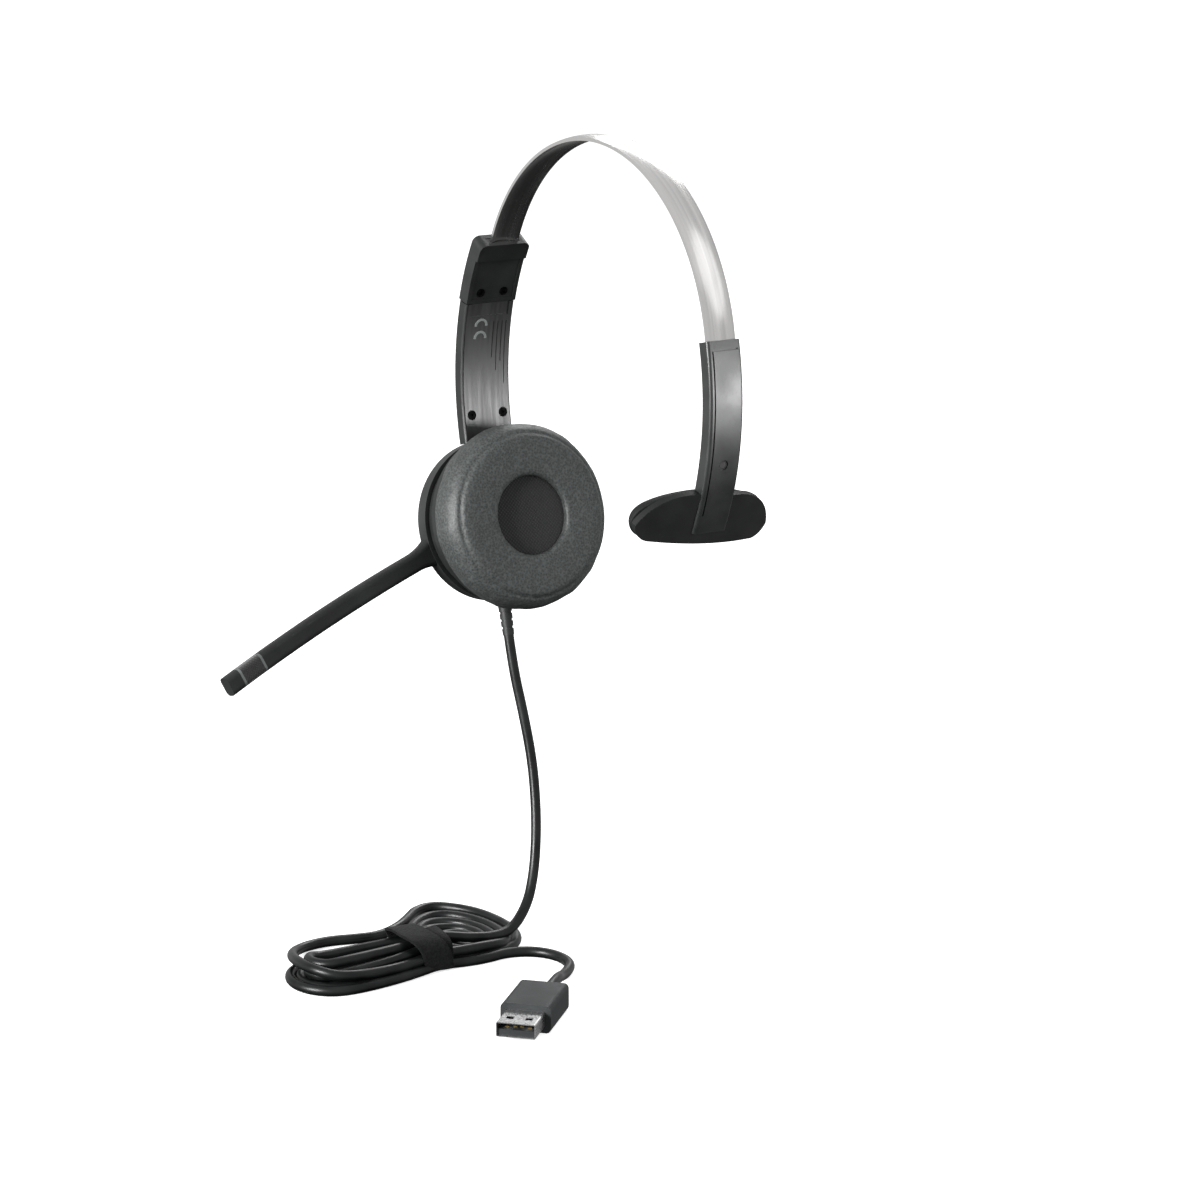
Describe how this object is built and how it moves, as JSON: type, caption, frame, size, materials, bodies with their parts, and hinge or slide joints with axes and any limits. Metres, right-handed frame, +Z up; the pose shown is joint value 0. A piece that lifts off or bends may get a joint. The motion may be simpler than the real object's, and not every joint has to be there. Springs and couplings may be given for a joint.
{
  "type": "office headset",
  "caption": "Single-ear office headset with a round ear cushion, microphone boom, steel headband, temple pad and a tied USB cord.",
  "frame": {"origin": "centre of the ear cushion's face, where the ear sits", "axes": "+X across the head from the ear cushion to the temple pad, -Y to the front where the boom reaches, +Z up"},
  "size_m": [0.1396, 0.1321, 0.2566],
  "materials": {
    "matte_black": "fine matte texture",
    "satin_black": "satin moulded plastic",
    "cushion_cloth": "fine speckled soft cloth over foam",
    "scrim_cloth": "open woven cloth",
    "band_steel": "brushed along its length",
    "bracket_steel": "satin",
    "black_screw": "black oxide",
    "pad_rubber": "soft matte",
    "cord_jacket": "satin flexible jacket",
    "tie_strap": "hook-and-loop strap",
    "plug_plastic": "fine matte texture",
    "plug_steel": "bright drawn shell",
    "contact_gold": "plated",
    "board_green": "printed board",
    "magnet_metal": "plated",
    "coil_copper": "enamelled wire",
    "diaphragm_film": "thin film",
    "mesh_cloth": "acoustic mesh",
    "band_trim": "satin grey"
  },
  "bodies": {
    "ear_cup": {"ear_cushion": "cushion_cloth", "ear_scrim": "scrim_cloth", "cushion_ring": "matte_black", "cup_housing": "matte_black", "tilt_pin": "bracket_steel", "speaker_baffle": "matte_black", "baffle_screws": "black_screw", "speaker_frame": "matte_black", "speaker_diaphragm": "diaphragm_film", "voice_coil": "coil_copper", "speaker_magnet": "magnet_metal", "cord_relief": "cord_jacket", "outer_cap": "satin_black", "audio_board": "board_green", "cord_drop": "cord_jacket", "cord_hank": "cord_jacket", "cord_tie": "tie_strap", "cord_tail": "cord_jacket", "plug_overmold": "plug_plastic", "plug_shell": "plug_steel", "plug_tongue": "matte_black", "plug_contacts": "contact_gold", "plug_board": "board_green"},
    "boom": {"boom_ring": "matte_black", "boom_arm": "matte_black", "mic_mesh": "mesh_cloth", "mic_bands": "band_trim", "mic_cap": "matte_black", "mic_capsule": "magnet_metal"},
    "lower_arm": {"arm_shell": "matte_black", "arm_cover": "satin_black", "slide_arrows": "satin_black", "arm_screws": "black_screw", "detent_spring": "bracket_steel", "tilt_bracket": "bracket_steel"},
    "headband": {"slider_housing": "matte_black", "housing_screws": "black_screw", "slide_tongue": "matte_black", "band_strip": "band_steel", "pad_arm_shell": "satin_black", "pad_arm_cover": "matte_black", "band_rivet": "black_screw", "temple_plate": "matte_black", "temple_pad": "pad_rubber"}
  },
  "joints": [
    {"name": "boom_turn", "type": "hinge", "parent": "ear_cup", "child": "boom", "pos_m": [0, 0, 0], "axis": [0.9703, 0, 0.2419], "range_deg": [-76, 213]},
    {"name": "cup_tilt", "type": "hinge", "parent": "ear_cup", "child": "lower_arm", "pos_m": [-0.02522, 0, 0.01433], "axis": [0, 1, 0], "range_deg": [-5, 14]},
    {"name": "headband_slide", "type": "hinge", "parent": "lower_arm", "child": "headband", "pos_m": [0.0555, 0, 0.04], "axis": [0, 1, 0], "range_deg": [0, 16.5]}
  ]
}
